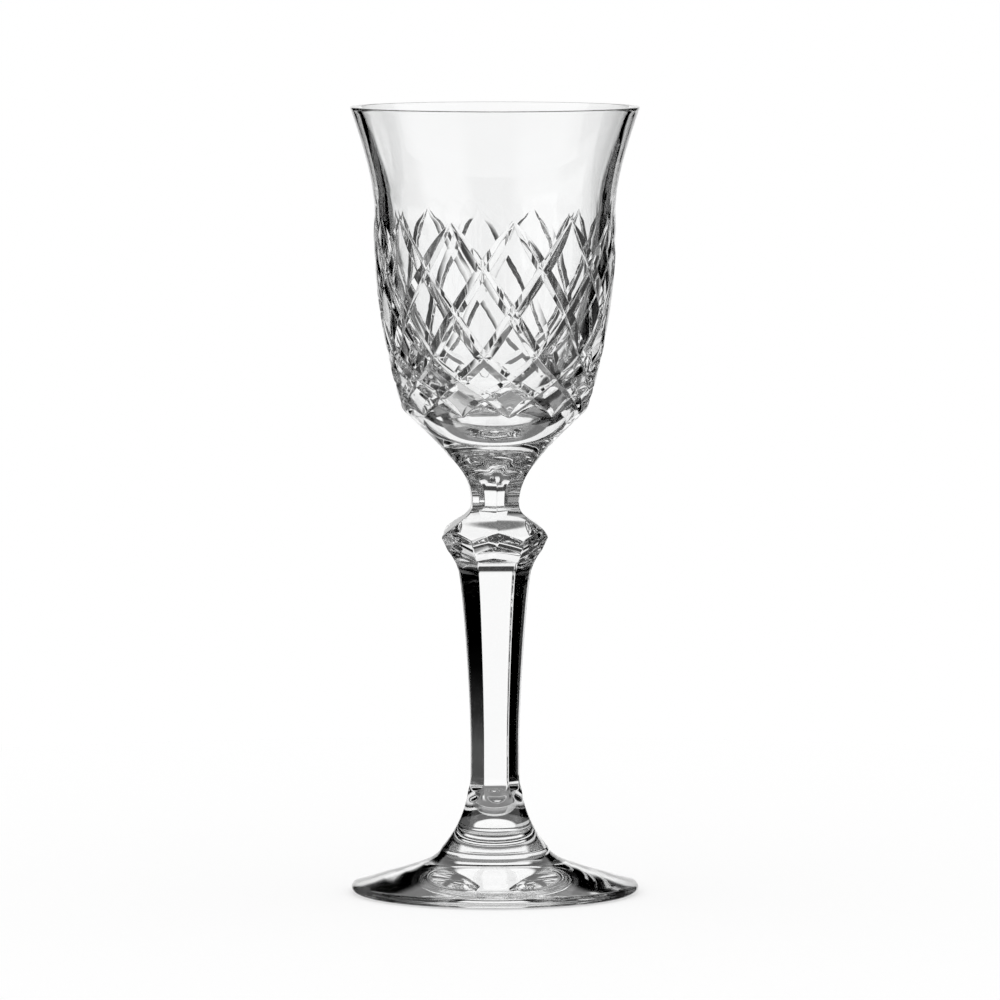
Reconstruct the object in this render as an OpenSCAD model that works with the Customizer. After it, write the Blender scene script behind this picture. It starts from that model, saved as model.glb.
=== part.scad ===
// Cut-crystal liqueur glass: bowl, knop, stem and foot, fused end to end on one axis.
// Millimetres. The foot rests on z = 0, z is the axis and one flat of the stem faces -Y.

/* [Foot] */
// Diameter of the foot
foot_d = 51.2; // [40:0.2:70]
// Height of the joint with the stem above the table
foot_h = 8; // [6:0.1:14]
// Thickness of the rounded outer edge
foot_edge_t = 1.7; // [1:0.1:3]
// Diameter of the joint with the stem
foot_joint_d = 18.8; // [14:0.2:26]
// Width of the ring the glass rests on
foot_ring_w = 2.4; // [1:0.1:6]
// Rise of the hollow underside
foot_hollow = 0.2; // [0.1:0.1:3]

/* [Stem] */
// Length between the two stem joints
stem_l = 49; // [35:0.5:90]
// Number of flats round the stem, the knop and the neck
sides = 6; // [5:1:10]
// Width across the flats at the thinnest place
stem_waist_af = 7.56; // [5:0.1:14]
// Height of the thinnest place above the foot joint
stem_waist_z = 18; // [14:0.5:30]
// Width across the flats at the joint with the knop
stem_top_af = 11.1; // [8:0.1:16]
// Height above the foot joint where the flats begin to run out
flat_end_z = 12.5; // [10:0.5:16]
// Radius of the run-out of the flats
flat_end_r = 7; // [4:0.5:14]
// Height of the round flare at the foot end
stem_flare_h = 13; // [9:0.5:18]

/* [Knop] */
// Height between the joint with the stem and the joint with the bowl
knop_h = 12.5; // [9:0.1:20]
// Width over the widest corners
knop_d = 19; // [15:0.1:28]
// Height of the widest corners above the stem joint
knop_wide_z = 6.3; // [5:0.1:9]
// Inward lean of the girdle facets, in degrees
knop_lean = 24; // [10:1:35]
// How far the middle of a girdle panel stands out from a flat panel
knop_crown = 0.67; // [0.2:0.05:1.2]

/* [Bowl] */
// Width across the flats of the neck at the joint with the knop
neck_af = 8.28; // [6:0.1:12]
// Height of the neck flats above the joint
neck_flat_h = 9.8; // [7:0.1:13]
// Height from the joint to the lower points of the diamonds
under_h = 16.2; // [12:0.1:24]
// Height of the diamond-cut body
body_h = 34.9; // [24:0.1:60]
// Height of the plain flare above the diamonds
flare_h = 19.4; // [12:0.1:40]
// Diameter at the lower end of the body
base_d = 33.4; // [26:0.2:44]
// Diameter at the top of the body, where the flare begins
waist_d = 42.9; // [34:0.1:56]
// Diameter of the rim
rim_d = 51.4; // [42:0.2:70]
// Thickness of the wall at the rim
rim_wall = 1.5; // [0.8:0.1:3]
// Thickness of the wall where the flare begins
waist_wall = 2.5; // [1.6:0.1:4]
// Height of the bottom of the hollow above the joint
floor_h = 14; // [10:0.1:18]

/* [Diamond cutting] */
// Number of diamonds round the bowl
diamonds = 12; // [8:1:18]
// Depth of the mitre cuts
cut_depth = 0.7; // [0.4:0.05:1.4]
// Slope of the sides of a mitre cut, in degrees
cut_slope = 31; // [25:1:50]
// Turn of the pattern from the front flat of the stem, in degrees
cut_turn = 5; // [0:1:30]
// Share of the body height taken by each half row of diamonds, from the top
row_share = [8.7, 8, 7.4, 4.3, 3.1, 3.4];

/* [Hidden] */
$fn = 96;
glass = [0.86, 0.92, 0.95, 0.5];

// Heights of the joints and of the zones of the bowl
stem_z = foot_h;
knop_z = stem_z + stem_l;
neck_z = knop_z + knop_h;
body_z = neck_z + under_h;
flare_z = body_z + body_h;
rim_z = flare_z + flare_h;

// Half a step between flats, and the angle that faces the front
half_step = 180 / sides;
front = -90;

// Room left outside a cut, and how far the round blank stands out past the ridges
clear = 30;
ridge_extra = 0.14;

// Radii
joint_r = foot_joint_d / 2;
waist_a = stem_waist_af / 2;
top_a = stem_top_af / 2;
neck_a = neck_af / 2;
knop_r = knop_d / 2;
base_r = base_d / 2;
body_r = waist_d / 2;
rim_r = rim_d / 2;
in_r = body_r - waist_wall;
rim_ease = 0.2;

// Points of a cubic curve from a to d, drawn towards b and c
function bend(a, b, c, d, n) = [for (i = [0:n]) let (t = i / n, u = 1 - t)
    u * u * u * a + 3 * u * u * t * b + 3 * u * t * t * c + t * t * t * d];

// A list without its first point, to join curves end to end
function tail(list) = [for (i = [1:len(list) - 1]) list[i]];

// Sum of the first n shares
function total(list, n) = n == 0 ? 0 : list[n - 1] + total(list, n - 1);

// Solid bounded by equal flats round the axis; outline gives distance from the axis and height
module flats(outline, turn) {
    low = outline[0][1];
    high = outline[len(outline) - 1][1];
    intersection_for (k = [0:sides - 1])
        rotate([0, 0, turn + k * 360 / sides])
            rotate([90, 0, 0])
                linear_extrude(height = 4 * clear, center = true)
                    polygon(concat(outline, [[-2 * clear, high], [-2 * clear, low]]));
}

// Foot
edge_r = foot_edge_t / 2;
edge_c = [foot_d / 2 - edge_r, edge_r];
edge_start = 70;
foot_top_r = edge_c[0] + edge_r * cos(edge_start);
foot_top_z = edge_c[1] + edge_r * sin(edge_start);
ring_in = edge_c[0] - foot_ring_w;
foot_run = foot_top_r - joint_r;
foot_drop = foot_h - foot_top_z;
foot_outline = concat(
    [[0, foot_h]],
    bend([joint_r, foot_h], [joint_r + 0.08 * foot_run, foot_h - 0.44 * foot_drop],
        [joint_r + 0.4 * foot_run, foot_h - 0.55 * foot_drop], [foot_top_r, foot_top_z], 10),
    [for (a = [edge_start - 20:-20:-90]) edge_c + edge_r * [cos(a), sin(a)]],
    [[edge_c[0], 0]],
    bend([ring_in, 0], [0.75 * ring_in, 0.75 * foot_hollow], [0.35 * ring_in, foot_hollow],
        [0, foot_hollow], 8));

module foot() {
    color(glass) rotate_extrude() polygon(foot_outline);
}

// Stem: a round blank with a flare at the foot, then the long flats
stem_r = waist_a / cos(half_step) + ridge_extra;
flare_run = joint_r - stem_r;
stem_blank_outline = concat(
    [[0, stem_z]],
    bend([joint_r, stem_z], [joint_r - 0.61 * flare_run, stem_z + 0.27 * stem_flare_h],
        [stem_r + 0.05 * flare_run, stem_z + 0.58 * stem_flare_h], [stem_r, stem_z + stem_flare_h], 10),
    [[top_a / cos(half_step) + 2 * ridge_extra, knop_z], [0, knop_z]]);
flat_z = stem_z + flat_end_z;
thin_z = stem_z + stem_waist_z;
thin_l = knop_z - thin_z;
swell = top_a - waist_a;
stem_flat_outline = concat(
    [[clear, stem_z - 1], [clear, flat_z - flat_end_r - 2]],
    [for (a = [75:-15:0]) [waist_a + flat_end_r * (1 - cos(a)), flat_z - flat_end_r * sin(a)]],
    bend([waist_a, thin_z], [waist_a, thin_z + 0.26 * thin_l],
        [waist_a + 0.55 * swell, thin_z + 0.8 * thin_l], [top_a, knop_z], 10),
    [[top_a + 0.1 * swell, knop_z + 1]]);

module stem() {
    color(glass) intersection() {
        rotate_extrude() polygon(stem_blank_outline);
        flats(stem_flat_outline, front);
    }
}

// Knop: flats of the stem below, flats of the neck above and a leaning girdle between
wide_z = knop_z + knop_wide_z;
spread_z = wide_z - 0.13 * knop_wide_z;
spread_h = spread_z - knop_z;
spread = 0.905 * knop_r - top_a;
knop_low_outline = concat(
    bend([top_a, knop_z], [top_a + 0.16 * spread, knop_z + 0.42 * spread_h],
        [top_a + 0.51 * spread, knop_z + 0.73 * spread_h], [top_a + spread, spread_z], 8),
    [[top_a + 2 * spread, spread_z + spread], [clear, neck_z]]);
shoulder = knop_r - neck_a;
shoulder_h = neck_z - wide_z;
knop_top_outline = concat(
    [[clear, knop_z], [knop_r + 0.8, wide_z - 2]],
    bend([knop_r, wide_z], [neck_a + 0.757 * shoulder, neck_z - 0.47 * shoulder_h],
        [neck_a, neck_z - 0.47 * shoulder_h], [neck_a, neck_z], 8));
girdle_turn = atan(knop_crown / (knop_r * sin(half_step)));
girdle_a = (knop_r * cos(half_step) + knop_crown) * cos(girdle_turn);
girdle_outline = [
    [clear, knop_z],
    [girdle_a - (wide_z - knop_z - 2) * tan(knop_lean), knop_z + 2],
    [girdle_a + shoulder_h * tan(knop_lean), neck_z]];

module knop() {
    color(glass) intersection() {
        flats(knop_low_outline, front);
        flats(knop_top_outline, front + half_step);
        flats(girdle_outline, front - girdle_turn);
        flats(girdle_outline, front + girdle_turn);
    }
}

// Bowl blank: outside from the neck to the rim, then the hollow from the rim down
neck_r = neck_a / cos(half_step) + ridge_extra;
under_r = base_r - 0.8;
under_run = under_r - neck_r;
corner_h = 1.4;
belly_h = body_h - corner_h;
bowl_outside = concat(
    bend([neck_r, neck_z], [neck_r, neck_z + 0.37 * under_h],
        [neck_r + 0.35 * under_run, neck_z + 0.58 * under_h], [under_r, body_z], 10),
    [[base_r - 0.25, body_z + corner_h / 2]],
    bend([base_r, body_z + corner_h], [base_r + 0.65 * (body_r - base_r), body_z + corner_h + 0.29 * belly_h],
        [body_r + 0.45, flare_z - 0.32 * belly_h], [body_r, flare_z], 12),
    tail(bend([body_r, flare_z], [body_r - 0.25, flare_z + 0.31 * flare_h],
        [body_r + 0.5 * (rim_r - body_r), flare_z + 0.67 * flare_h], [rim_r, rim_z - rim_ease], 8)));
floor_z = neck_z + floor_h;
hollow_h = flare_z - floor_z;
bowl_inside = concat(
    bend([rim_r - rim_wall, rim_z - rim_ease],
        [in_r + 0.49 * (rim_r - rim_wall - in_r), flare_z + 0.66 * flare_h],
        [in_r + 0.1, flare_z + 0.31 * flare_h], [in_r, flare_z], 8),
    tail(bend([in_r, flare_z], [0.95 * in_r, flare_z - 0.4 * hollow_h],
        [0.7 * in_r, floor_z], [0, floor_z], 14)));
bowl_outline = concat(
    [[0, neck_z]], bowl_outside,
    [[rim_r - rim_ease, rim_z], [rim_r - rim_wall + rim_ease, rim_z]], bowl_inside);

// Outside radius of the blank at a height
radius_at = [for (p = bowl_outside) [p[1], p[0]]];
function blank_r(z) = lookup(z, radius_at);

// Neck flats, running out under the bowl
neck_flat_outline = concat(
    [[neck_a, neck_z - 1]],
    bend([neck_a, neck_z], [neck_a, neck_z + 0.4 * neck_flat_h],
        [neck_a + 0.34 * (under_r - neck_a) * 0.47, neck_z + 0.66 * neck_flat_h],
        [neck_a + 0.47 * (under_r - neck_a), neck_z + neck_flat_h], 8),
    [[under_r, neck_z + neck_flat_h + 1], [2 * clear, body_z], [2 * clear, rim_z + 1]]);

// Rows of crossing points of the two sets of mitre cuts. The first and last rows stand outside the
// glass; the second and the last but one are the points where the cuts run out.
steps = len(row_share);
last = steps + 2;
row_scale = body_h / total(row_share, steps);
function row_z(j) = j == 0 ? flare_z + row_share[0] * row_scale
    : j == last ? body_z - 3
    : flare_z - total(row_share, j - 1) * row_scale;
function row_depth(j) = j == 0 || j == last ? -2 : j == 1 || j == last - 1 ? -0.05 : cut_depth;
function mid_depth(j) = j == 0 || j == last - 1 ? -0.6 : j == 1 || j == last - 2 ? 0.82 * cut_depth : cut_depth;

// Angle of point i of row j, and a point at an angle, height and depth below the blank
pitch = 360 / diamonds;
function row_angle(i, j) = front + cut_turn + pitch * (i + (j % 2 == 0 ? 0.5 : 0));
function ring_point(a, r, z) = [r * cos(a), r * sin(a), z];
function cut_point(a, z, depth) = ring_point(a, blank_r(z) - depth, z);

// Centre of the circle inside a kite, measured from its cross line, and its radius
function kite_shift(p, u, l) = (u * norm([p, l]) - l * norm([p, u])) / (norm([p, l]) + norm([p, u]));
function kite_r(p, u, l) = (u - kite_shift(p, u, l)) * p / norm([p, u]);

// Top of the four-sided pyramid between four cuts, outside the blank
function peak(i, j) =
    let (u = row_z(j - 1) - row_z(j), l = row_z(j) - row_z(j + 1),
        p = blank_r(row_z(j)) * sin(pitch / 2),
        z = row_z(j) + kite_shift(p, u, l), q = kite_r(p, u, l), r = blank_r(z))
    ring_point(row_angle(i + 0.5, j), r - cut_depth + q * tan(cut_slope) + 0.35 * q * q / r, z);

// Numbers of the points: crossings, middles of the cuts between them, peaks, outer rings and two centres
n = diamonds;
mid_0 = (last + 1) * n;
peak_0 = mid_0 + 2 * last * n;
high_0 = peak_0 + (last - 1) * n;
low_0 = high_0 + 4 * n;
top_c = low_0 + 4 * n;
low_c = top_c + 1;
function cross_at(i, j) = j * n + (i + n) % n;
function mid_at(i, j, side) = mid_0 + 2 * (j * n + (i + n) % n) + side;
cut_points = concat(
    [for (j = [0:last], i = [0:n - 1]) cut_point(row_angle(i, j), row_z(j), row_depth(j))],
    [for (j = [0:last - 1], i = [0:n - 1], side = [-1, 1])
        cut_point(row_angle(i, j) + side * pitch / 4, (row_z(j) + row_z(j + 1)) / 2, mid_depth(j))],
    [for (j = [1:last - 1], i = [0:n - 1]) peak(i, j)],
    [for (k = [0:4 * n - 1]) ring_point(row_angle(k / 4, 1), 2 * clear, rim_z + 1)],
    [for (k = [0:4 * n - 1]) ring_point(row_angle(k / 4, 1), 2 * clear, neck_z - 1)],
    [[0, 0, rim_z + 1], [0, 0, neck_z - 1]]);

// Closed line round one pyramid, clockwise from outside
function kite(i, j) = let (t = j % 2 == 0 ? i + 1 : i)
    [cross_at(t, j - 1), mid_at(t, j - 1, 1), cross_at(i + 1, j), mid_at(i + 1, j, 0),
        cross_at(t, j + 1), mid_at(i, j, 1), cross_at(i, j), mid_at(t, j - 1, 0)];
upper_line = [for (i = [0:n - 1]) each [cross_at(i, 1), mid_at(i, 0, 0), cross_at(i, 0), mid_at(i, 0, 1)]];
lower_line = [for (i = [0:n - 1])
    each [cross_at(i, last - 1), mid_at(i, last - 1, 1), cross_at(i, last), mid_at(i + 1, last - 1, 0)]];
cut_faces = concat(
    [for (j = [1:last - 1], i = [0:n - 1]) let (line = kite(i, j))
        for (k = [0:7]) [peak_0 + (j - 1) * n + i, line[k], line[(k + 1) % 8]]],
    [for (k = [0:4 * n - 1]) let (m = (k + 1) % (4 * n)) each [
        [upper_line[k], high_0 + k, high_0 + m], [upper_line[k], high_0 + m, upper_line[m]],
        [lower_line[k], lower_line[m], low_0 + m], [lower_line[k], low_0 + m, low_0 + k],
        [top_c, high_0 + m, high_0 + k], [low_c, low_0 + k, low_0 + m]]]);

module bowl() {
    color(glass) intersection() {
        rotate_extrude() polygon(bowl_outline);
        flats(neck_flat_outline, front + half_step);
        polyhedron(cut_points, cut_faces, convexity = 8);
    }
}

bowl();
knop();
stem();
foot();
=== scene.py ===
# Cut-crystal liqueur glass: crystal pieces round the fixed frame, a studio and a camera
import math

import bmesh
import bpy
import numpy as np
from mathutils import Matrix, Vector


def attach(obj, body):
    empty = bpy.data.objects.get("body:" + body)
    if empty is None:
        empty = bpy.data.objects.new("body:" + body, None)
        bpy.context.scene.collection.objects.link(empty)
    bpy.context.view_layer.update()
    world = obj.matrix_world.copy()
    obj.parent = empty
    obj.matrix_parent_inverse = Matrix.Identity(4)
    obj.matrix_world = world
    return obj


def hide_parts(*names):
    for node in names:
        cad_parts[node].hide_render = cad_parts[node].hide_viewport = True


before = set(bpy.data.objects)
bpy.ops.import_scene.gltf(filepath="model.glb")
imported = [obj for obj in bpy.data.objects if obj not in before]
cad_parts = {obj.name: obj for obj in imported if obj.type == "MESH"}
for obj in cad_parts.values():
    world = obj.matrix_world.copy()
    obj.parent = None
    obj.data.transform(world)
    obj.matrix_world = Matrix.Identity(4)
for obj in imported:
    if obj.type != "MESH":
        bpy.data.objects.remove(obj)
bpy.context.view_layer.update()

MM = 0.001

# Sizes in millimetres, the same as the part's source
FOOT_D = 51.2
FOOT_H = 8.0
FOOT_EDGE_T = 1.7
FOOT_JOINT_D = 18.8
FOOT_RING_W = 2.4
FOOT_HOLLOW = 0.2
STEM_L = 49.0
SIDES = 6
STEM_WAIST_AF = 7.56
STEM_WAIST_Z = 18.0
STEM_TOP_AF = 11.1
FLAT_END_Z = 12.5
FLAT_END_R = 7.0
STEM_FLARE_H = 13.0
KNOP_H = 12.5
KNOP_D = 19.0
KNOP_WIDE_Z = 6.3
KNOP_LEAN = 24.0
KNOP_CROWN = 0.67
NECK_AF = 8.28
NECK_FLAT_H = 9.8
UNDER_H = 16.2
BODY_H = 34.9
FLARE_H = 19.4
BASE_D = 33.4
WAIST_D = 42.9
RIM_D = 51.4
RIM_WALL = 1.5
WAIST_WALL = 2.5
FLOOR_H = 14.0
DIAMONDS = 12
CUT_DEPTH = 0.7
CUT_SLOPE = 31.0
CUT_TURN = 5.0
ROW_SHARE = [8.7, 8.0, 7.4, 4.3, 3.1, 3.4]

# Heights of the joints and of the zones of the bowl
STEM_Z = FOOT_H
KNOP_Z = STEM_Z + STEM_L
NECK_Z = KNOP_Z + KNOP_H
BODY_Z = NECK_Z + UNDER_H
FLARE_Z = BODY_Z + BODY_H
RIM_Z = FLARE_Z + FLARE_H
FLOOR_Z = NECK_Z + FLOOR_H

# Turns, in radians
STEP = 2 * math.pi / SIDES
HALF_STEP = STEP / 2
FRONT = -math.pi / 2
PITCH = 2 * math.pi / DIAMONDS

# Room left outside a cut
CLEAR_R = 30

# Polish left on cut edges, and how far the round blank stands out past the ridges
RIDGE_ROUND = 0.03
EDGE_ROUND = 0.06
CUT_ROUND = 0.12
KNOP_ROUND = 0.14
RIDGE_EXTRA = 0.14
RIM_EASE = 0.2
KNOP_LOW_EASE = 0.01
KNOP_HIGH_EASE = 0.05
RING_EASE = 0.3
RING_LIFT = 0.001
FOOT_CAP_R = 0.4
HOLLOW_CAP_R = 0.3

JOINT_R = FOOT_JOINT_D / 2
WAIST_A = STEM_WAIST_AF / 2
TOP_A = STEM_TOP_AF / 2
NECK_A = NECK_AF / 2
KNOP_R = KNOP_D / 2
BASE_R = BASE_D / 2
BODY_R = WAIST_D / 2
RIM_R = RIM_D / 2
IN_R = BODY_R - WAIST_WALL


def bend(a, b, c, d, n):
    """Points of a cubic curve from a to d, drawn towards b and c."""
    t = np.linspace(0, 1, n + 1)[:, None]
    u = 1 - t
    a, b, c, d = (np.array(p, float) for p in (a, b, c, d))
    return u**3 * a + 3 * u * u * t * b + 3 * u * t * t * c + t**3 * d


# Points closer than this are one point
SAME_POINT = 1e-6


def joined(*curves):
    """Curves end to end, without doubled points."""
    out = []
    for curve in curves:
        for p in curve:
            if not out or math.dist(out[-1], p) > SAME_POINT:
                out.append((float(p[0]), float(p[1])))
    return np.array(out)


def by_height(curve):
    """Radius as a function of height along a curve that only rises or only falls."""
    z = curve[:, 1]
    r = curve[:, 0]
    if z[0] > z[-1]:
        z, r = z[::-1], r[::-1]
    return lambda height: float(np.interp(height, z, r))


def folded(turn, start):
    """Angle from the middle of the nearest flat; start is the middle of one flat."""
    return (turn - start + HALF_STEP) % STEP - HALF_STEP


def flat_r(apothem, x):
    """Distance from the axis to a flat, with the ridge slightly polished."""
    return min(apothem / math.cos(x), apothem / math.cos(HALF_STEP) - RIDGE_ROUND)


def smooth(x, low, high):
    """0 below low, 1 above high and an easy curve between."""
    t = min(max((x - low) / (high - low), 0.0), 1.0)
    return t * t * (3 - 2 * t)


# Outlines of the foot, from the joint out over the edge and in underneath
EDGE_R = FOOT_EDGE_T / 2
EDGE_C = np.array([FOOT_D / 2 - EDGE_R, EDGE_R])
EDGE_START = math.radians(70)


def on_edge(turn):
    return EDGE_C + EDGE_R * np.array([math.cos(turn), math.sin(turn)])


edge_top = on_edge(EDGE_START)
foot_run = edge_top[0] - JOINT_R
foot_drop = FOOT_H - edge_top[1]
ring_in = EDGE_C[0] - FOOT_RING_W
foot_curve = joined(
    bend((JOINT_R, FOOT_H), (JOINT_R + 0.08 * foot_run, FOOT_H - 0.44 * foot_drop),
         (JOINT_R + 0.4 * foot_run, FOOT_H - 0.55 * foot_drop), edge_top, 48),
    [on_edge(a) for a in np.linspace(EDGE_START, -math.pi / 2, 18)],
    [(ring_in + RING_EASE, 0), (ring_in, RING_LIFT)],
    bend((ring_in - RING_EASE, 4 * RING_LIFT), (0.75 * ring_in, 0.75 * FOOT_HOLLOW),
         (0.35 * ring_in, FOOT_HOLLOW), (FOOT_CAP_R, FOOT_HOLLOW), 24))

# Outlines of the stem: the round blank and the long flats, which run out in an arc
FLAT_END_TURN = math.radians(75)
STEM_R = WAIST_A / math.cos(HALF_STEP) + RIDGE_EXTRA
flare_run = JOINT_R - STEM_R
stem_blank = by_height(joined(
    bend((JOINT_R, STEM_Z), (JOINT_R - 0.61 * flare_run, STEM_Z + 0.27 * STEM_FLARE_H),
         (STEM_R + 0.05 * flare_run, STEM_Z + 0.58 * STEM_FLARE_H), (STEM_R, STEM_Z + STEM_FLARE_H), 60),
    [(TOP_A / math.cos(HALF_STEP) + 2 * RIDGE_EXTRA, KNOP_Z)]))
flat_z = STEM_Z + FLAT_END_Z
thin_z = STEM_Z + STEM_WAIST_Z
thin_l = KNOP_Z - thin_z
swell = TOP_A - WAIST_A
stem_flat = by_height(joined(
    [(CLEAR_R, STEM_Z - 1), (CLEAR_R, flat_z - FLAT_END_R - 2)],
    [(WAIST_A + FLAT_END_R * (1 - math.cos(a)), flat_z - FLAT_END_R * math.sin(a))
     for a in np.linspace(FLAT_END_TURN, 0, 40)],
    bend((WAIST_A, thin_z), (WAIST_A, thin_z + 0.26 * thin_l),
         (WAIST_A + 0.55 * swell, thin_z + 0.8 * thin_l), (TOP_A, KNOP_Z), 60)))

# Outlines of the knop: flats of the stem, flats of the neck and the leaning girdle
wide_z = KNOP_Z + KNOP_WIDE_Z
spread_z = wide_z - 0.13 * KNOP_WIDE_Z
spread_h = spread_z - KNOP_Z
spread = 0.905 * KNOP_R - TOP_A
knop_low = by_height(joined(
    bend((TOP_A, KNOP_Z), (TOP_A + 0.16 * spread, KNOP_Z + 0.42 * spread_h),
         (TOP_A + 0.51 * spread, KNOP_Z + 0.73 * spread_h), (TOP_A + spread, spread_z), 60),
    [(TOP_A + 2 * spread, spread_z + spread), (CLEAR_R, NECK_Z)]))
shoulder = KNOP_R - NECK_A
shoulder_h = NECK_Z - wide_z
knop_top = by_height(joined(
    [(CLEAR_R, KNOP_Z), (KNOP_R + 0.8, wide_z - 2)],
    bend((KNOP_R, wide_z), (NECK_A + 0.757 * shoulder, NECK_Z - 0.47 * shoulder_h),
         (NECK_A, NECK_Z - 0.47 * shoulder_h), (NECK_A, NECK_Z), 60)))
girdle_turn = math.atan(KNOP_CROWN / (KNOP_R * math.sin(HALF_STEP)))
girdle_a = (KNOP_R * math.cos(HALF_STEP) + KNOP_CROWN) * math.cos(girdle_turn)
GIRDLE_SLOPE = math.tan(math.radians(KNOP_LEAN))

# Heights between which the lower and the upper edge of the girdle lie
LOW_EDGE = (KNOP_Z + 2, wide_z + 1.5)
HIGH_EDGE = (wide_z - 2, NECK_Z - 1)

# Outlines of the bowl: outside, eased lip, hollow and neck flats
NECK_R = NECK_A / math.cos(HALF_STEP) + RIDGE_EXTRA
CORNER_W = 0.8
CORNER_H = 1.4
UNDER_R = BASE_R - CORNER_W
under_run = UNDER_R - NECK_R
belly_h = BODY_H - CORNER_H
flare_curve = bend((BODY_R, FLARE_Z), (BODY_R - 0.25, FLARE_Z + 0.31 * FLARE_H),
                   (BODY_R + 0.5 * (RIM_R - BODY_R), FLARE_Z + 0.67 * FLARE_H), (RIM_R, RIM_Z - RIM_EASE), 48)
bowl_blank = by_height(joined(
    bend((NECK_R, NECK_Z), (NECK_R, NECK_Z + 0.37 * UNDER_H),
         (NECK_R + 0.35 * under_run, NECK_Z + 0.58 * UNDER_H), (UNDER_R, BODY_Z), 80),
    bend((UNDER_R, BODY_Z), (UNDER_R + 0.42, BODY_Z + 0.4), (BASE_R - 0.18, BODY_Z + 0.8),
         (BASE_R, BODY_Z + CORNER_H), 16),
    bend((BASE_R, BODY_Z + CORNER_H), (BASE_R + 0.65 * (BODY_R - BASE_R), BODY_Z + CORNER_H + 0.29 * belly_h),
         (BODY_R + 0.45, FLARE_Z - 0.32 * belly_h), (BODY_R, FLARE_Z), 100),
    flare_curve))
hollow_h = FLARE_Z - FLOOR_Z
rim_in = RIM_R - RIM_WALL
lip_turns = np.linspace(0, math.pi / 2, 5)[1:]
lip_curve = [(RIM_R - RIM_EASE * (1 - math.cos(a)), RIM_Z - RIM_EASE * (1 - math.sin(a))) for a in lip_turns]
lip_curve += [(RIM_R + rim_in - r, z) for r, z in reversed(lip_curve)]
hollow_curve = joined(
    bend((rim_in, RIM_Z - RIM_EASE), (IN_R + 0.49 * (rim_in - IN_R), FLARE_Z + 0.66 * FLARE_H),
         (IN_R + 0.1, FLARE_Z + 0.31 * FLARE_H), (IN_R, FLARE_Z), 30),
    bend((IN_R, FLARE_Z), (0.95 * IN_R, FLARE_Z - 0.4 * hollow_h), (0.7 * IN_R, FLOOR_Z),
         (HOLLOW_CAP_R, FLOOR_Z), 70))
neck_spread = 0.47 * (UNDER_R - NECK_A)
neck_flat = by_height(joined(
    bend((NECK_A, NECK_Z), (NECK_A, NECK_Z + 0.4 * NECK_FLAT_H),
         (NECK_A + 0.34 * neck_spread, NECK_Z + 0.66 * NECK_FLAT_H),
         (NECK_A + neck_spread, NECK_Z + NECK_FLAT_H), 60),
    [(UNDER_R, NECK_Z + NECK_FLAT_H + 1), (2 * CLEAR_R, BODY_Z), (2 * CLEAR_R, RIM_Z)]))

# Rows of crossings of the two sets of mitre cuts, and a smooth height through them
ROWS = len(ROW_SHARE)
row_scale = BODY_H / sum(ROW_SHARE)
row_z = [FLARE_Z - row_scale * sum(ROW_SHARE[:j]) for j in range(ROWS + 1)]
row_fall = [row_z[j + 1] - row_z[j] for j in range(ROWS)]
row_slope = ([row_fall[0]] + [2 * p * q / (p + q) for p, q in zip(row_fall, row_fall[1:])] + [row_fall[-1]])


def height_at(v):
    """Height of row v, which need not be a whole number."""
    v = min(max(v, 0.0), float(ROWS))
    j = min(int(v), ROWS - 1)
    t = v - j
    return ((2 * t**3 - 3 * t**2 + 1) * row_z[j] + (t**3 - 2 * t**2 + t) * row_slope[j]
            + (3 * t**2 - 2 * t**3) * row_z[j + 1] + (t**3 - t**2) * row_slope[j + 1])


# Lengths in rows over which a cut runs out at its upper and its lower end
RUN_OUT_TOP = 0.75
RUN_OUT_LOW = 0.9


def depth_at(v):
    """Depth of a mitre cut along its length: it runs out at both ends."""
    run = min(v / RUN_OUT_TOP, (ROWS - v) / RUN_OUT_LOW, 1.0)
    return CUT_DEPTH * (1 - (1 - max(run, 0.0))**2)


# Small steps in rows and in millimetres, for slopes
NEAR_V = 0.02
NEAR_Z = 0.2


def spacing_at(v):
    """Distance between neighbouring cuts of one set, square to the cuts."""
    z = height_at(v)
    low_v = max(v - NEAR_V, 0)
    high_v = min(v + NEAR_V, ROWS)
    fall = abs(height_at(high_v) - height_at(low_v)) / (high_v - low_v)
    lean = (bowl_blank(z + NEAR_Z) - bowl_blank(z - NEAR_Z)) / (2 * NEAR_Z)
    along = fall * math.hypot(1, lean)
    across = bowl_blank(z) * PITCH
    return across * along / math.hypot(across / 2, along)


# Places of the mesh lines across one diamond: cut, its side, the land, the next side
INNER = 6
LINES = 8 + INNER
TAN_SLOPE = math.tan(math.radians(CUT_SLOPE))
LEAST_HALF = 0.02


def cut_lines(v):
    """Places from 0 to 1 between two cuts, and the depth at each."""
    depth = depth_at(v)
    gap = spacing_at(v)
    half = max(depth / TAN_SLOPE / gap, LEAST_HALF)
    edge = min(EDGE_ROUND / gap, 0.25 * half)
    low = min(CUT_ROUND / gap, 0.3 * half)
    fall = depth / half
    side = [(0.0, depth - 0.5 * low * fall), (low, depth - low * fall), (half - edge, edge * fall),
            (half, 0.25 * edge * fall)]
    land = [(p, 0.0) for p in np.linspace(half + edge, 1 - half - edge, INNER + 1)]
    back = [(1 - p, d) for p, d in reversed(side[1:])]
    return side + land + back


# Lines worked out once for close steps of v, a little past both ends
TABLE_PAST = 0.2
TABLE_STEPS = 320
table_v = np.linspace(-TABLE_PAST, ROWS + TABLE_PAST, TABLE_STEPS + 1)
table_lines = [cut_lines(min(max(v, 0.0), float(ROWS))) for v in table_v]


def lines_at(v):
    """Lines at the step nearest to row v."""
    step = table_v[1] - table_v[0]
    k = int(np.clip(round((v - table_v[0]) / step), 0, TABLE_STEPS))
    return table_lines[k]


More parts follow.
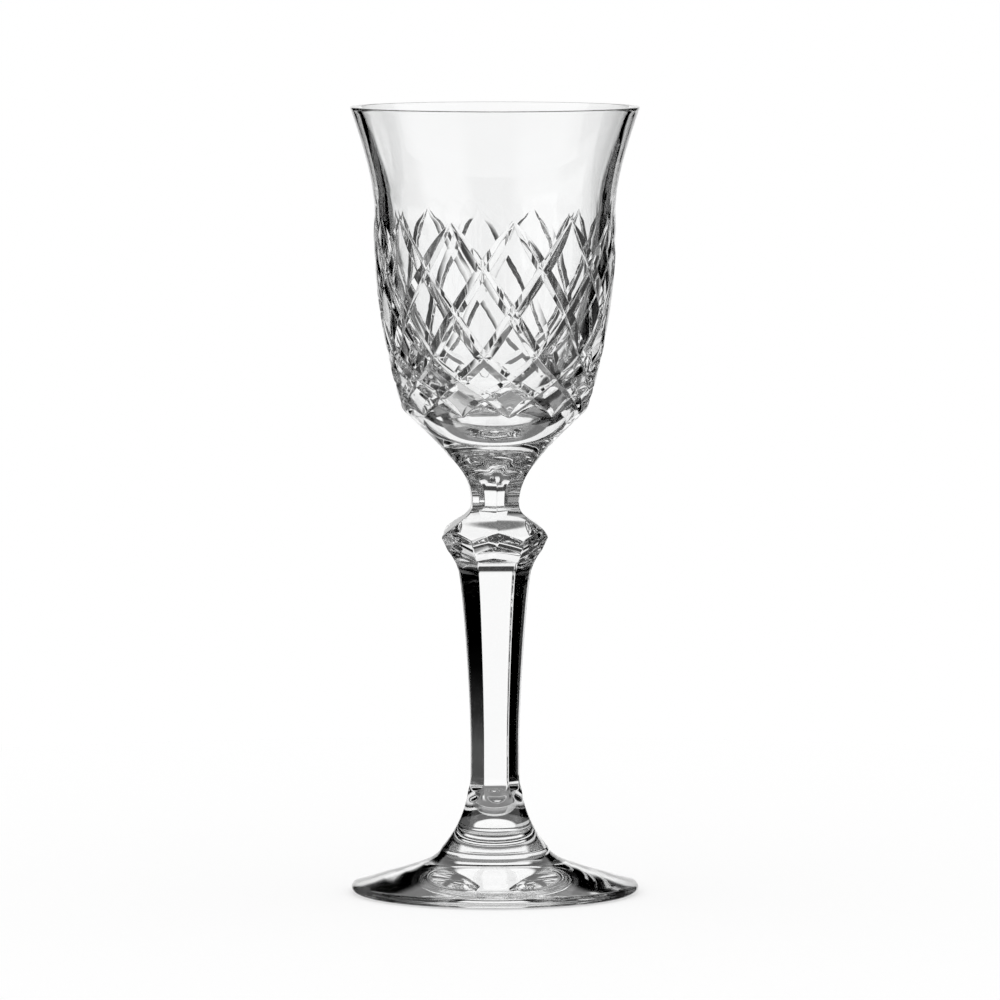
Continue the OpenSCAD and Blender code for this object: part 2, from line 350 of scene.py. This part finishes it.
# Places of the two materials on each piece
CRYSTAL = 0
JOINT = 1


def polar(r, turn, z):
    return Vector((r * math.cos(turn), r * math.sin(turn), z)) * MM


def add_ring(bm, points):
    return [bm.verts.new(p) for p in points]


def add_round_ring(bm, r, z, turns):
    return add_ring(bm, [polar(r, a, z) for a in turns])


def add_flat_ring(bm, z, blank, flat, middle, turns):
    """Ring of a round blank cut by flats; middle is the turn of the middle of one flat."""
    outer = blank(z)
    apothem = flat(z)
    return add_ring(bm, [polar(min(outer, flat_r(apothem, folded(a, middle))), a, z) for a in turns])


def skin(bm, rings):
    """Quads through a row of closed rings of the same count."""
    for low, high in zip(rings, rings[1:]):
        count = len(low)
        for i in range(count):
            j = (i + 1) % count
            bm.faces.new((low[i], low[j], high[j], high[i]))


def cap(bm, ring, z, index):
    """Closes a ring with a fan; a fused joint has a sharp edge."""
    middle = bm.verts.new((0, 0, z * MM))
    for i, v in enumerate(ring):
        face = bm.faces.new((v, ring[(i + 1) % len(ring)], middle))
        face.material_index = index
        for edge in face.edges:
            if middle not in edge.verts and index == JOINT:
                edge.smooth = False


def finish_piece(bm, name, materials):
    bmesh.ops.recalc_face_normals(bm, faces=bm.faces)
    mesh = bpy.data.meshes.new(name)
    for face in bm.faces:
        face.smooth = True
    bm.to_mesh(mesh)
    bm.free()
    piece = bpy.data.objects.new(name, mesh)
    bpy.context.collection.objects.link(piece)
    for material in materials:
        mesh.materials.append(material)
    weighted = piece.modifiers.new("even shading", "WEIGHTED_NORMAL")
    weighted.keep_sharp = True
    return piece


# Mesh lines across half a flat, close together at the ridge and at the middle
HALF_FLAT = [0, 0.03, 0.06, 0.14, 0.26, 0.38, 0.5, 0.62, 0.74, 0.86, 0.94, 0.97]
flat_turns = [FRONT + HALF_STEP * (j + f) for j in range(2 * SIDES) for f in HALF_FLAT]
ROUND_SEGMENTS = 192
round_turns = [FRONT + 2 * math.pi * k / ROUND_SEGMENTS for k in range(ROUND_SEGMENTS)]


def build_foot(materials):
    bm = bmesh.new()
    rings = [add_round_ring(bm, r, z, round_turns) for r, z in foot_curve]
    skin(bm, rings)
    cap(bm, rings[0], FOOT_H, JOINT)
    cap(bm, rings[-1], FOOT_HOLLOW, CRYSTAL)
    return finish_piece(bm, "foot_crystal", materials)


def build_stem(materials):
    bm = bmesh.new()
    lower = np.linspace(STEM_Z, flat_z + 1, 64)
    upper = np.linspace(flat_z + 1, KNOP_Z, 60)[1:]
    rings = [add_flat_ring(bm, z, stem_blank, stem_flat, FRONT, flat_turns) for z in (*lower, *upper)]
    skin(bm, rings)
    cap(bm, rings[0], STEM_Z, JOINT)
    cap(bm, rings[-1], KNOP_Z, JOINT)
    return finish_piece(bm, "stem_crystal", materials)


# Times that the search for a crossing halves its range
HALVINGS = 50


def crossing(first, second, low, high):
    """Height where first passes second, between low and high."""
    for _ in range(HALVINGS):
        mid = (low + high) / 2
        if first(mid) < second(mid):
            low = mid
        else:
            high = mid
    return (low + high) / 2


def knop_column(turn):
    """Points up the knop at one turn: stem flats, girdle and neck flats, with eased edges between them."""
    x = abs(folded(turn, FRONT))

    def below(z):
        return flat_r(knop_low(z), x)

    def girdle(z):
        return (girdle_a + (z - wide_z) * GIRDLE_SLOPE) / math.cos(x - girdle_turn)

    def above(z):
        return flat_r(knop_top(z), HALF_STEP - x)

    z_low = crossing(below, girdle, *LOW_EDGE)
    z_high = crossing(girdle, above, *HIGH_EDGE)
    rows = [(below(z), z) for z in np.linspace(KNOP_Z, z_low - KNOP_ROUND, 18)]
    rows.append((girdle(z_low) - KNOP_LOW_EASE, z_low))
    rows += [(girdle(z), z) for z in np.linspace(z_low + KNOP_ROUND, z_high - KNOP_ROUND, 6)]
    rows.append((girdle(z_high) - KNOP_HIGH_EASE, z_high))
    rows += [(above(z), z) for z in np.linspace(z_high + KNOP_ROUND, NECK_Z, 26)]
    return [polar(r, turn, z) for r, z in rows]


def build_knop(materials):
    bm = bmesh.new()
    columns = [knop_column(a) for a in flat_turns]
    rings = [add_ring(bm, ring) for ring in zip(*columns)]
    skin(bm, rings)
    cap(bm, rings[0], KNOP_Z, JOINT)
    cap(bm, rings[-1], NECK_Z, JOINT)
    return finish_piece(bm, "knop_crystal", materials)


# Mesh lines round the neck, close together where a tip above meets a ridge or the middle of a flat
NECK_LINES = [0, 0.03, 0.06, 0.1, 0.16] + list(np.linspace(0.22, 0.78, INNER - 1)) + [0.84, 0.9, 0.94, 0.97]
EVEN_LINES = [k / LINES for k in range(LINES)]
AROUND = DIAMONDS * LINES
DOWN = ROWS * LINES
SETTLE = 3
SPREAD_H = 6.0
tip_turn = FRONT + math.radians(CUT_TURN)


def cell_faces(k, j):
    """Corners of the faces of one cell: on the diagonals of a diamond a cell is split."""
    if k == j:
        return (0, 1, 2), (0, 2, 3)
    if k + j == LINES - 1:
        return (0, 1, 3), (1, 2, 3)
    return ((0, 1, 2, 3),)


def add_diamonds(bm):
    """Cut body, made along both sets of cuts; returns its upper and its lower ring.

    q counts the lines of one set and q + d those of the other, so d counts down the body.
    """
    cut = {}
    for d in range(DOWN + 1):
        for q in range(AROUND):
            m, k = divmod(q + d, LINES)
            n, j = divmod(q, LINES)
            v = m - n + (k - j) / LINES
            for _ in range(SETTLE):
                lines = lines_at(v)
                v = m - n + lines[k][0] - lines[j][0]
            u = (m + lines[k][0] + n + lines[j][0]) / 2
            z = height_at(v)
            sunk = max(lines[k][1], lines[j][1])
            cut[d, q] = bm.verts.new(polar(bowl_blank(z) - sunk, tip_turn + PITCH * u, z))

    for d in range(DOWN + 1):
        for q in range(AROUND):
            following = (q + 1) % AROUND
            places = [(d, q), (d + 1, q), (d, following), (d - 1, following)]
            corners = [cut[place] for place in places if place in cut]
            if len(corners) < len(places):
                bm.faces.new(corners)
                continue
            for face in cell_faces((q + d) % LINES, q % LINES):
                bm.faces.new([corners[i] for i in face])
    return [[cut[d, q] for q in range(AROUND)] for d in (0, DOWN)]


def spread_turns(away, lines, goal, turn):
    """Turns of a ring that changes, with the distance from the cuts, from their lines to others."""
    s = smooth(away, 0, SPREAD_H)
    return [tip_turn + s * turn + PITCH * (n + lines[k] * (1 - s) + goal[k] * s)
            for n in range(DIAMONDS) for k in range(LINES)]


def add_flare(bm, ring):
    """Plain flare, lip and hollow, from the upper ring of the cut body."""
    lines = [p for p, _ in lines_at(0)]
    outside = [(r, z, z - FLARE_Z) for r, z in flare_curve[1:]]
    inside = [(r, z, SPREAD_H) for r, z in (*lip_curve, *hollow_curve)]
    rings = [ring]
    for r, z, away in outside + inside:
        rings.append(add_round_ring(bm, r, z, spread_turns(away, lines, EVEN_LINES, 0)))
    skin(bm, rings)
    cap(bm, rings[-1], FLOOR_Z, CRYSTAL)


def add_underside(bm, ring):
    """Plain underside and faceted neck, from the lower ring of the cut body."""
    lines = [p for p, _ in lines_at(ROWS)]
    first = PITCH * (ROWS // 2)
    rings = [ring]
    for z in np.linspace(BODY_Z, NECK_Z, 70)[1:]:
        turns = [first + a for a in spread_turns(BODY_Z - z, lines, NECK_LINES, -math.radians(CUT_TURN))]
        rings.append(add_flat_ring(bm, z, bowl_blank, neck_flat, FRONT + HALF_STEP, turns))
    skin(bm, rings)
    cap(bm, rings[-1], NECK_Z, JOINT)


def build_bowl(materials):
    bm = bmesh.new()
    upper, lower = add_diamonds(bm)
    add_flare(bm, upper)
    add_underside(bm, lower)
    return finish_piece(bm, "bowl_crystal", materials)


class Nodes:
    """Short calls for the nodes of one material or world."""

    def __init__(self, tree):
        self.nodes = tree.nodes
        self.links = tree.links

    def maths(self, operation, *values):
        node = self.nodes.new("ShaderNodeMath")
        node.operation = operation
        for socket, value in zip(node.inputs, values):
            if isinstance(value, (int, float)):
                socket.default_value = value
            else:
                self.links.new(value, socket)
        return node.outputs[0]

    def ramp(self, value, start, end, low, high, kind="LINEAR"):
        """From low to high while the value goes from start to end."""
        node = self.nodes.new("ShaderNodeMapRange")
        node.interpolation_type = kind
        self.links.new(value, node.inputs["Value"])
        for name, number in (("From Min", start), ("From Max", end), ("To Min", low), ("To Max", high)):
            node.inputs[name].default_value = number
        return node.outputs["Result"]

    def window(self, value, low, high, soft):
        """1 from low to high, with soft edges."""
        rising = self.ramp(value, low - soft, low + soft, 0.0, 1.0, "SMOOTHSTEP")
        falling = self.ramp(value, high - soft, high + soft, 1.0, 0.0, "SMOOTHSTEP")
        return self.maths("MULTIPLY", rising, falling)

    def noise(self, place, scale, detail):
        node = self.nodes.new("ShaderNodeTexNoise")
        node.inputs["Scale"].default_value = scale
        node.inputs["Detail"].default_value = detail
        self.links.new(place, node.inputs["Vector"])
        return node.outputs["Fac"]

    def split(self, vector):
        node = self.nodes.new("ShaderNodeSeparateXYZ")
        self.links.new(vector, node.inputs[0])
        return node.outputs["X"], node.outputs["Y"], node.outputs["Z"]

    def rays(self):
        """1 for light seen through the crystal, for light mirrored on it, and for either."""
        path = self.nodes.new("ShaderNodeLightPath")
        glossy = path.outputs["Is Glossy Ray"]
        through = path.outputs["Is Transmission Ray"]
        mirrored = self.maths("MULTIPLY", glossy, self.maths("SUBTRACT", 1.0, through))
        return through, mirrored, self.maths("MAXIMUM", glossy, through)


# Noise in the crystal, as scale per metre and detail
CORD_NOISE = (60, 2)
POLISH_NOISE = (900, 3)
SCRATCH_NOISE = (4000, 4)
WAVE_NOISE = (140, 1)

# Noise over which polish marks and scratches grow, and heights of the worn band and of the waves, in mm
POLISH_SPAN = (0.45, 0.8)
SCRATCH_SPAN = (0.4, 0.75)
WEAR_H = 0.12
WAVE_H = 0.02

# Refraction, colours between and in the cords, and greatest roughness of polish and of wear
CRYSTAL_IOR = 1.545
CLEAR = (1.0, 1.0, 1.0, 1)
CORD = (0.985, 0.99, 0.99, 1)
POLISH_ROUGH = 0.02
WEAR_ROUGH = 0.2

# Places of the colour sockets on a mix node
MIX_A = 6
MIX_B = 7
MIX_RESULT = 2


def clear_crystal(name, worn_z):
    """Polished clear crystal: faint waves from hand work, faint cords, and fine wear at one height in mm."""
    material = bpy.data.materials.new(name)
    material.use_nodes = True
    tree = Nodes(material.node_tree)
    nodes, links = tree.nodes, tree.links
    shader = nodes["Principled BSDF"]
    shader.inputs["IOR"].default_value = CRYSTAL_IOR
    shader.inputs["Transmission Weight"].default_value = 1.0
    place = nodes.new("ShaderNodeTexCoord").outputs["Object"]

    cords = nodes.new("ShaderNodeMix")
    cords.data_type = "RGBA"
    links.new(tree.noise(place, *CORD_NOISE), cords.inputs["Factor"])
    cords.inputs[MIX_A].default_value = CLEAR
    cords.inputs[MIX_B].default_value = CORD
    links.new(cords.outputs[MIX_RESULT], shader.inputs["Base Color"])

    away = tree.maths("ABSOLUTE", tree.maths("SUBTRACT", tree.split(place)[2], worn_z * MM))
    band = tree.ramp(away, 0.0, WEAR_H * MM, 1.0, 0.0)
    scratches = tree.ramp(tree.noise(place, *SCRATCH_NOISE), *SCRATCH_SPAN, 0.0, WEAR_ROUGH)
    polish = tree.ramp(tree.noise(place, *POLISH_NOISE), *POLISH_SPAN, 0.0, POLISH_ROUGH)
    rough = tree.maths("ADD", tree.maths("MULTIPLY", band, scratches), polish)
    links.new(rough, shader.inputs["Roughness"])

    waves = nodes.new("ShaderNodeBump")
    waves.inputs["Strength"].default_value = 1.0
    waves.inputs["Distance"].default_value = WAVE_H * MM
    links.new(tree.noise(place, *WAVE_NOISE), waves.inputs["Height"])
    links.new(waves.outputs["Normal"], shader.inputs["Normal"])
    return material


def fused_joint():
    """Where two pieces are melted together nothing shows."""
    material = bpy.data.materials.new("fused_joint")
    material.use_nodes = True
    nodes = material.node_tree.nodes
    nodes.remove(nodes["Principled BSDF"])
    shader = nodes.new("ShaderNodeBsdfTransparent")
    material.node_tree.links.new(shader.outputs["BSDF"], nodes["Material Output"].inputs["Surface"])
    return material


# Builder of each piece, and the height where it is worn
PIECES = {
    "foot": (build_foot, 0.0),
    "stem": (build_stem, KNOP_Z),
    "knop": (build_knop, wide_z),
    "bowl": (build_bowl, RIM_Z),
}
joint = fused_joint()
for node, (build, worn_z) in PIECES.items():
    piece = build([clear_crystal(node + "_clear_crystal", worn_z), joint])
    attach(piece, "root")
    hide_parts(node)

# Studio: white all round for the table and the background; the crystal sees soft panels in the dark.
# Each panel has a window of turn from straight behind and one of height, both in degrees, a strength and
# the softness of its edges in degrees
FLOOR_R = 0.257
FLOOR_GAP = 0.0002
FLOOR_SIDES = 128
FLOOR_MATT = (0.5, 0.5, 0.5, 1)
FLOOR_GLOW = 0.5
CRISP = 2.0
SOFT = 10.0
ALL_ROUND = (-200, 200)
PANELS = {
    "backdrop": ((-15, 25), (-25, 15), 1.0, CRISP),
    "low card": ((-30, 40), (-55, -25), 0.2, CRISP),
    "overhead": ((-40, 40), (30, 60), 1.0, CRISP),
    "left front": ((-155, -100), (-10, 25), 1.0, SOFT),
    "right front": ((95, 155), (-10, 25), 1.0, SOFT),
    "left side": ((-110, -60), (-7.5, 10), 1.0, CRISP),
    "left side low": ((-110, -75), (-15, -5), 1.0, CRISP),
    "back corner": ((-55, -35), (-30, -20), 1.0, CRISP),
    "front corner": ((115, 155), (-25, -5), 1.0, CRISP),
    "left floor": ((-80, -20), (-65, -45), 0.6, CRISP),
    "ceiling": (ALL_ROUND, (60, 95), 0.1, CRISP),
    "floor far": (ALL_ROUND, (-95, -45), 0.1, CRISP),
    "floor near": (ALL_ROUND, (-95, -65), 1.0, CRISP),
}
THROUGH_PANELS = {
    "overhead edge": ((-40, 40), (28, 35), 1.0, CRISP),
}
MIRROR_PANELS = {
    "room left": ((-200, -80), (-60, 45), 1.0, CRISP),
    "room right": ((80, 200), (-60, 45), 1.0, CRISP),
}


def panel_light(tree, turn, rise, turns, rises, strength, soft):
    """Light that one panel sends from a direction."""
    area = tree.maths("MULTIPLY", tree.window(turn, *turns, soft), tree.window(rise, *rises, soft))
    return tree.maths("MULTIPLY", area, strength)


def light_world():
    """Even white light; in the crystal it is a dark room with soft panels."""
    world = bpy.data.worlds.new("studio")
    bpy.context.scene.world = world
    world.use_nodes = True
    tree = Nodes(world.node_tree)
    through, mirrored, in_glass = tree.rays()
    x, y, z = tree.split(tree.nodes.new("ShaderNodeTexCoord").outputs["Generated"])
    turn = tree.maths("DEGREES", tree.maths("ARCTAN2", x, y))
    rise = tree.maths("DEGREES", tree.maths("ARCSINE", z))
    lights = [panel_light(tree, turn, rise, *panel) for panel in PANELS.values()]
    for panels, rays in ((THROUGH_PANELS, through), (MIRROR_PANELS, mirrored)):
        for panel in panels.values():
            lights.append(tree.maths("MULTIPLY", panel_light(tree, turn, rise, *panel), rays))
    dark = in_glass
    for light in lights:
        dark = tree.maths("MULTIPLY", dark, tree.maths("SUBTRACT", 1.0, light))
    tree.links.new(tree.maths("SUBTRACT", 1.0, dark), tree.nodes["Background"].inputs["Color"])


def build_floor():
    """Pale round table that keeps the shadow; the crystal sees the panels below it."""
    bm = bmesh.new()
    bmesh.ops.create_circle(bm, cap_ends=True, segments=FLOOR_SIDES, radius=FLOOR_R)
    mesh = bpy.data.meshes.new("floor")
    bm.to_mesh(mesh)
    bm.free()
    floor = bpy.data.objects.new("floor", mesh)
    floor.location.z = -FLOOR_GAP
    bpy.context.collection.objects.link(floor)
    material = bpy.data.materials.new("pale_floor")
    material.use_nodes = True
    tree = Nodes(material.node_tree)
    nodes, links = tree.nodes, tree.links
    in_glass = tree.rays()[2]
    nodes.remove(nodes["Principled BSDF"])
    clear = nodes.new("ShaderNodeBsdfTransparent")
    matt = nodes.new("ShaderNodeBsdfDiffuse")
    matt.inputs["Color"].default_value = FLOOR_MATT
    glow = nodes.new("ShaderNodeEmission")
    glow.inputs["Strength"].default_value = FLOOR_GLOW
    table = nodes.new("ShaderNodeAddShader")
    links.new(matt.outputs["BSDF"], table.inputs[0])
    links.new(glow.outputs["Emission"], table.inputs[1])
    either = nodes.new("ShaderNodeMixShader")
    links.new(in_glass, either.inputs["Fac"])
    links.new(table.outputs["Shader"], either.inputs[1])
    links.new(clear.outputs["BSDF"], either.inputs[2])
    links.new(either.outputs["Shader"], nodes["Material Output"].inputs["Surface"])
    mesh.materials.append(material)


light_world()
build_floor()

scene = bpy.context.scene
scene.cycles.max_bounces = 32
scene.cycles.transmission_bounces = 32
scene.cycles.glossy_bounces = 16
scene.cycles.transparent_max_bounces = 64
scene.view_settings.view_transform = "Standard"

# Camera at the photograph's viewing angle, a little above the rim and far off
CAMERA_TURN = math.radians(-4)
CAMERA_D = 1.532
CAMERA_Z = 0.1935
AIM_Z = 0.070
AIM_SIDE = 0.0009
FRAME_W = 0.1779
FAR_CLIP = 20
side = Vector((math.cos(CAMERA_TURN), math.sin(CAMERA_TURN), 0))
outward = Vector((math.sin(CAMERA_TURN), -math.cos(CAMERA_TURN), 0))
camera_data = bpy.data.cameras.new("camera")
camera = bpy.data.objects.new("camera", camera_data)
bpy.context.collection.objects.link(camera)
aim = side * AIM_SIDE + Vector((0, 0, AIM_Z))
camera.location = outward * CAMERA_D + side * AIM_SIDE + Vector((0, 0, CAMERA_Z))
camera.rotation_euler = (aim - camera.location).to_track_quat("-Z", "Y").to_euler()
camera_data.sensor_fit = "HORIZONTAL"
camera_data.lens = camera_data.sensor_width / FRAME_W * (aim - camera.location).length
camera_data.clip_end = FAR_CLIP
scene.camera = camera
